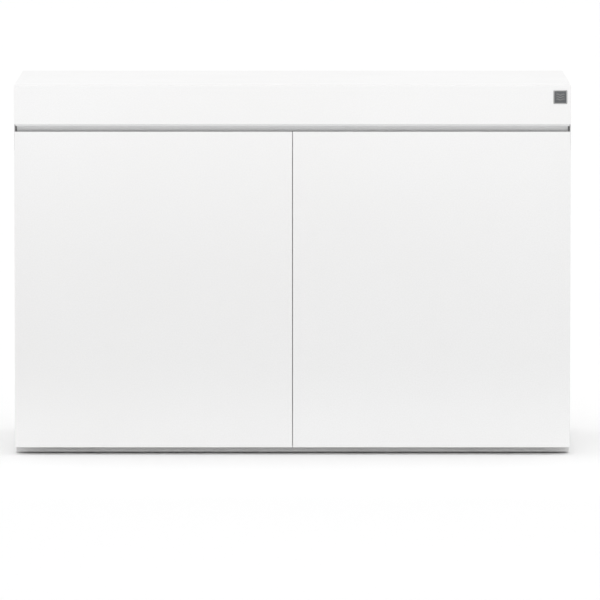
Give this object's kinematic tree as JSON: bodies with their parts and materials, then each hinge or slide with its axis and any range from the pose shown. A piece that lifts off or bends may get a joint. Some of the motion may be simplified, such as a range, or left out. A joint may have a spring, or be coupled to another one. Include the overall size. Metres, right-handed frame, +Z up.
{
  "type": "aquarium stand cabinet",
  "caption": "Rectangular tank stand: white box with two handleless hinged doors, a full-width recessed finger channel under a shallow fascia, open bays inside and levelling feet.",
  "frame": {"origin": "on the floor under the middle of the cabinet", "axes": "+X to the right seen from the front, -Y to the front, +Z up"},
  "size_m": [1.2, 0.6006, 0.8],
  "materials": {
    "white_lacquer": "satin white lacquer on a board",
    "white_melamine": "matt white melamine-faced board",
    "plinth_board": "matt white laminate",
    "anodised_aluminium": "brushed, clear anodised",
    "grey_plastic": "fine grain",
    "black_rubber": "matt",
    "dark_plastic": "fine grain",
    "nickel_steel": "nickel plated",
    "zinc_steel": "zinc plated",
    "beech": "ribbed, untreated",
    "badge_metal": "dark brushed",
    "clear_silicone": "soft, nearly clear",
    "black_foot_plastic": "fine grain",
    "stem_steel": "zinc plated thread"
  },
  "bodies": {
    "carcass": {"back_panel_screws": "zinc_steel", "badge_plate": "badge_metal", "bottom_panel": "white_melamine", "cable_grommets": "dark_plastic", "carcass_cam_bolts": "zinc_steel", "carcass_cam_locks": "zinc_steel", "carcass_dowels": "beech", "centre_divider": "white_melamine", "fascia_panel": "white_lacquer", "fascia_screws": "zinc_steel", "finger_channel": "anodised_aluminium", "finger_channel_brackets": "zinc_steel", "finger_channel_end_caps": "grey_plastic", "finger_channel_screws": "zinc_steel", "foot_access_caps": "grey_plastic", "foot_sockets": "zinc_steel", "front_top_rail": "white_melamine", "hinge_adjusting_screws": "zinc_steel", "hinge_arms": "nickel_steel", "hinge_mounting_plates": "nickel_steel", "hinge_plate_screws": "zinc_steel", "hose_slot_trims": "black_rubber", "left_back_panel": "white_melamine", "left_side_panel": "white_lacquer", "plinth_cross_rails": "plinth_board", "plinth_front_rail": "plinth_board", "plinth_rear_rail": "plinth_board", "plinth_screws": "zinc_steel", "rear_top_rails": "white_melamine", "right_back_panel": "white_melamine", "right_side_panel": "white_lacquer", "top_panel": "white_lacquer"},
    "left_door": {"left_cup_screws": "zinc_steel", "left_door": "white_lacquer", "left_door_bumpers": "clear_silicone", "left_hinge_cups": "nickel_steel", "left_hinge_pins": "nickel_steel"},
    "right_door": {"right_cup_screws": "zinc_steel", "right_door": "white_lacquer", "right_door_bumpers": "clear_silicone", "right_hinge_cups": "nickel_steel", "right_hinge_pins": "nickel_steel"},
    "front_left_foot_pad": {"front_left_foot_pad": "black_foot_plastic"},
    "front_left_foot_stem": {"front_left_foot_stem": "stem_steel"},
    "front_centre_foot_pad": {"front_centre_foot_pad": "black_foot_plastic"},
    "front_centre_foot_stem": {"front_centre_foot_stem": "stem_steel"},
    "front_right_foot_pad": {"front_right_foot_pad": "black_foot_plastic"},
    "front_right_foot_stem": {"front_right_foot_stem": "stem_steel"},
    "rear_left_foot_pad": {"rear_left_foot_pad": "black_foot_plastic"},
    "rear_left_foot_stem": {"rear_left_foot_stem": "stem_steel"},
    "rear_centre_foot_pad": {"rear_centre_foot_pad": "black_foot_plastic"},
    "rear_centre_foot_stem": {"rear_centre_foot_stem": "stem_steel"},
    "rear_right_foot_pad": {"rear_right_foot_pad": "black_foot_plastic"},
    "rear_right_foot_stem": {"rear_right_foot_stem": "stem_steel"}
  },
  "joints": [
    {"name": "left_door_hinge", "type": "hinge", "parent": "carcass", "child": "left_door", "pos_m": [-0.5924, -0.2936, 0.355], "axis": [0, 0, -1], "range_deg": [0, 95]},
    {"name": "right_door_hinge", "type": "hinge", "parent": "carcass", "child": "right_door", "pos_m": [0.5924, -0.2936, 0.355], "axis": [0, 0, 1], "range_deg": [0, 95]},
    {"name": "front_left_foot_level", "type": "slide", "parent": "carcass", "child": "front_left_foot_pad", "axis": [0, 0, -1], "range_m": [0, 0.01]},
    {"name": "front_left_stem_turn", "type": "hinge", "parent": "front_left_foot_pad", "child": "front_left_foot_stem", "pos_m": [-0.53, -0.21, 0.02], "axis": [0, 0, -1], "range_deg": [0, 2880]},
    {"name": "front_centre_foot_level", "type": "slide", "parent": "carcass", "child": "front_centre_foot_pad", "axis": [0, 0, -1], "range_m": [0, 0.01]},
    {"name": "front_centre_stem_turn", "type": "hinge", "parent": "front_centre_foot_pad", "child": "front_centre_foot_stem", "pos_m": [0, -0.21, 0.02], "axis": [0, 0, -1], "range_deg": [0, 2880]},
    {"name": "front_right_foot_level", "type": "slide", "parent": "carcass", "child": "front_right_foot_pad", "axis": [0, 0, -1], "range_m": [0, 0.01]},
    {"name": "front_right_stem_turn", "type": "hinge", "parent": "front_right_foot_pad", "child": "front_right_foot_stem", "pos_m": [0.53, -0.21, 0.02], "axis": [0, 0, -1], "range_deg": [0, 2880]},
    {"name": "rear_left_foot_level", "type": "slide", "parent": "carcass", "child": "rear_left_foot_pad", "axis": [0, 0, -1], "range_m": [0, 0.01]},
    {"name": "rear_left_stem_turn", "type": "hinge", "parent": "rear_left_foot_pad", "child": "rear_left_foot_stem", "pos_m": [-0.53, 0.21, 0.02], "axis": [0, 0, -1], "range_deg": [0, 2880]},
    {"name": "rear_centre_foot_level", "type": "slide", "parent": "carcass", "child": "rear_centre_foot_pad", "axis": [0, 0, -1], "range_m": [0, 0.01]},
    {"name": "rear_centre_stem_turn", "type": "hinge", "parent": "rear_centre_foot_pad", "child": "rear_centre_foot_stem", "pos_m": [0, 0.21, 0.02], "axis": [0, 0, -1], "range_deg": [0, 2880]},
    {"name": "rear_right_foot_level", "type": "slide", "parent": "carcass", "child": "rear_right_foot_pad", "axis": [0, 0, -1], "range_m": [0, 0.01]},
    {"name": "rear_right_stem_turn", "type": "hinge", "parent": "rear_right_foot_pad", "child": "rear_right_foot_stem", "pos_m": [0.53, 0.21, 0.02], "axis": [0, 0, -1], "range_deg": [0, 2880]}
  ],
  "couplings": [
    {"joint": "front_left_stem_turn", "follows": "front_left_foot_level", "rad_per_m": 5026.5},
    {"joint": "front_centre_stem_turn", "follows": "front_centre_foot_level", "rad_per_m": 5026.5},
    {"joint": "front_right_stem_turn", "follows": "front_right_foot_level", "rad_per_m": 5026.5},
    {"joint": "rear_left_stem_turn", "follows": "rear_left_foot_level", "rad_per_m": 5026.5},
    {"joint": "rear_centre_stem_turn", "follows": "rear_centre_foot_level", "rad_per_m": 5026.5},
    {"joint": "rear_right_stem_turn", "follows": "rear_right_foot_level", "rad_per_m": 5026.5}
  ]
}
